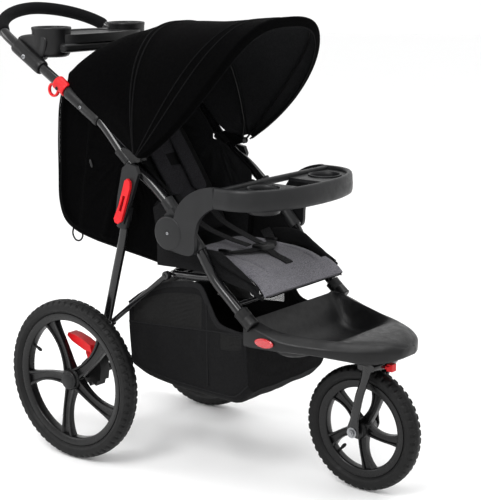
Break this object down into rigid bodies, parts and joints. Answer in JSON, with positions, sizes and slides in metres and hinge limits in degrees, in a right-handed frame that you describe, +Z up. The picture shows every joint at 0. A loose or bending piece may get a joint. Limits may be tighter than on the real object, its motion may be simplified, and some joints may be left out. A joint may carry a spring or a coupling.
{
  "type": "jogging stroller",
  "caption": "Folding three-wheel jogging stroller with air tyres, reclining padded seat, canopy, child tray, parent tray with cup holders, storage basket and a swivelling front wheel.",
  "frame": {"origin": "middle of the footprint, on the ground", "axes": "+Z up, -Y towards the front wheel (the way it is pushed), +X to the child's left"},
  "size_m": [0.5666, 1.2204, 1.0998],
  "materials": {
    "gloss_black_tube": "gloss black powder coat",
    "matte_black_plastic": "fine grain, matte black",
    "grey_plastic": "fine grain, dark grey",
    "tyre_rubber": "black rubber with a block tread",
    "wheel_plastic": "moulded black",
    "foam": "closed-cell foam",
    "red_plastic": "satin red",
    "steel": "zinc plated",
    "charcoal_fabric": "woven polyester, charcoal",
    "black_fabric": "woven polyester, black",
    "grey_fabric": "grey melange knit",
    "reflector_red": "prismatic red reflector"
  },
  "bodies": {
    "rear_frame": {"rear_leg_right": "gloss_black_tube", "rear_leg_left": "gloss_black_tube", "fold_bracket_right": "grey_plastic", "fold_bracket_left": "grey_plastic", "rear_axle": "gloss_black_tube", "brake_housing_right": "matte_black_plastic", "brake_housing_left": "matte_black_plastic", "basket": "black_fabric"},
    "upper_frame": {"handle_tube": "gloss_black_tube", "foam_grip": "foam", "parent_tray": "matte_black_plastic", "latch_sleeve_right": "matte_black_plastic", "latch_sleeve_left": "matte_black_plastic", "front_joint_right": "grey_plastic", "front_joint_left": "grey_plastic", "tray_arm_right": "grey_plastic", "tray_arm_left": "grey_plastic", "canopy_clip_right": "matte_black_plastic", "canopy_clip_left": "matte_black_plastic", "canopy_fabric": "charcoal_fabric", "back_fabric": "charcoal_fabric", "seat_cushion": "grey_fabric", "seat_bolster_right": "black_fabric", "seat_bolster_left": "black_fabric", "harness_buckle": "matte_black_plastic"},
    "front_frame": {"front_tube_right": "gloss_black_tube", "front_tube_left": "gloss_black_tube", "front_knuckle_right": "grey_plastic", "front_knuckle_left": "grey_plastic", "footrest": "matte_black_plastic", "front_cross_bar": "gloss_black_tube", "steering_bearing": "grey_plastic", "reflector_right": "reflector_red", "reflector_left": "reflector_red"},
    "seat_rail": {"seat_rail": "gloss_black_tube"},
    "brace": {"brace_right": "gloss_black_tube", "brace_left": "gloss_black_tube"},
    "seat_back": {"seat_back_cushion": "grey_fabric"},
    "child_tray": {"child_tray": "grey_plastic"},
    "canopy_middle": {"canopy_bow_middle": "steel"},
    "canopy_front": {"canopy_bow_front": "steel"},
    "fork": {"front_fork": "matte_black_plastic", "front_axle_bolt": "steel"},
    "front_wheel": {"front_tyre": "tyre_rubber", "front_wheel": "wheel_plastic"},
    "swivel_lock": {"swivel_lock": "red_plastic"},
    "buckle_button": {"buckle_button": "grey_plastic"},
    "rear_wheel_right": {"rear_tyre_right": "tyre_rubber", "rear_wheel_right": "wheel_plastic", "hub_cap_right": "matte_black_plastic"},
    "brake_pedal_right": {"brake_pedal_right": "red_plastic"},
    "safety_lever_right": {"safety_lever_right": "red_plastic"},
    "fold_trigger_right": {"fold_trigger_right": "red_plastic"},
    "rear_wheel_left": {"rear_tyre_left": "tyre_rubber", "rear_wheel_left": "wheel_plastic", "hub_cap_left": "matte_black_plastic"},
    "brake_pedal_left": {"brake_pedal_left": "red_plastic"},
    "safety_lever_left": {"safety_lever_left": "red_plastic"},
    "fold_trigger_left": {"fold_trigger_left": "red_plastic"}
  },
  "joints": [
    {"name": "frame_fold", "type": "hinge", "parent": "rear_frame", "child": "upper_frame", "pos_m": [0, 0.0678, 0.728], "axis": [1, 0, 0], "range_deg": [-90, 0], "deforming": ["basket", "back_fabric", "canopy_fabric"]},
    {"name": "front_frame_fold", "type": "hinge", "parent": "upper_frame", "child": "front_frame", "pos_m": [0, -0.0542, 0.596], "axis": [1, 0, 0], "range_deg": [0, 132.1]},
    {"name": "seat_rail_fold", "type": "hinge", "parent": "front_frame", "child": "seat_rail", "pos_m": [0, -0.1672, 0.496], "axis": [1, 0, 0], "range_deg": [-112.1, 0]},
    {"name": "brace_fold", "type": "hinge", "parent": "seat_rail", "child": "brace", "pos_m": [0, -0.0122, 0.482], "axis": [1, 0, 0], "range_deg": [0, 73.5]},
    {"name": "canopy_fold", "type": "hinge", "parent": "upper_frame", "child": "canopy_front", "pos_m": [0, 0.0478, 0.758], "axis": [1, 0, 0], "range_deg": [-62, 0], "deforming": ["canopy_fabric"]},
    {"name": "canopy_middle_fold", "type": "hinge", "parent": "upper_frame", "child": "canopy_middle", "pos_m": [0, 0.0478, 0.758], "axis": [1, 0, 0], "range_deg": [-26.1, 0]},
    {"name": "seat_back_recline", "type": "hinge", "parent": "upper_frame", "child": "seat_back", "pos_m": [0, 0.0138, 0.512], "axis": [1, 0, 0], "range_deg": [-18, 0], "deforming": ["back_fabric"]},
    {"name": "child_tray_release", "type": "slide", "parent": "upper_frame", "child": "child_tray", "axis": [0, -1, 0], "range_m": [0, 0.045]},
    {"name": "rear_wheel_spin_right", "type": "hinge", "parent": "rear_frame", "child": "rear_wheel_right", "pos_m": [-0.257, 0.2258, 0.2], "axis": [1, 0, 0], "continuous": true},
    {"name": "brake_right", "type": "hinge", "parent": "rear_frame", "child": "brake_pedal_right", "pos_m": [-0.22, 0.1958, 0.246], "axis": [1, 0, 0], "range_deg": [-18, 0]},
    {"name": "safety_right", "type": "hinge", "parent": "rear_frame", "child": "safety_lever_right", "pos_m": [-0.217, 0.0678, 0.703], "axis": [1, 0, 0], "range_deg": [0, 70]},
    {"name": "fold_trigger_right", "type": "slide", "parent": "upper_frame", "child": "fold_trigger_right", "axis": [0, 0.8601, 0.5101], "range_m": [0, 0.014], "stiffness_N_per_m": 500},
    {"name": "rear_wheel_spin_left", "type": "hinge", "parent": "rear_frame", "child": "rear_wheel_left", "pos_m": [0.257, 0.2258, 0.2], "axis": [1, 0, 0], "continuous": true},
    {"name": "brake_left", "type": "hinge", "parent": "rear_frame", "child": "brake_pedal_left", "pos_m": [0.22, 0.1958, 0.246], "axis": [1, 0, 0], "range_deg": [-18, 0]},
    {"name": "safety_left", "type": "hinge", "parent": "rear_frame", "child": "safety_lever_left", "pos_m": [0.217, 0.0678, 0.703], "axis": [1, 0, 0], "range_deg": [0, 70]},
    {"name": "fold_trigger_left", "type": "slide", "parent": "upper_frame", "child": "fold_trigger_left", "axis": [0, 0.8601, 0.5101], "range_m": [0, 0.014], "stiffness_N_per_m": 500},
    {"name": "fork_swivel", "type": "hinge", "parent": "front_frame", "child": "fork", "pos_m": [0, -0.4962, 0.33], "axis": [0, 0, 1], "continuous": true},
    {"name": "front_wheel_spin", "type": "hinge", "parent": "fork", "child": "front_wheel", "pos_m": [0, -0.4602, 0.15], "axis": [1, 0, 0], "continuous": true},
    {"name": "swivel_lock", "type": "slide", "parent": "fork", "child": "swivel_lock", "axis": [0, -1, 0], "range_m": [0, 0.008]},
    {"name": "buckle_button", "type": "slide", "parent": "upper_frame", "child": "buckle_button", "axis": [0, 0, -1], "range_m": [0, 0.0025], "stiffness_N_per_m": 800}
  ],
  "couplings": [
    {"joint": "front_frame_fold", "follows": "frame_fold", "ratio": -1.4667},
    {"joint": "seat_rail_fold", "follows": "frame_fold", "ratio": 1.2444},
    {"joint": "brace_fold", "follows": "frame_fold", "ratio": -0.816},
    {"joint": "canopy_middle_fold", "follows": "canopy_fold", "ratio": 0.42}
  ]
}
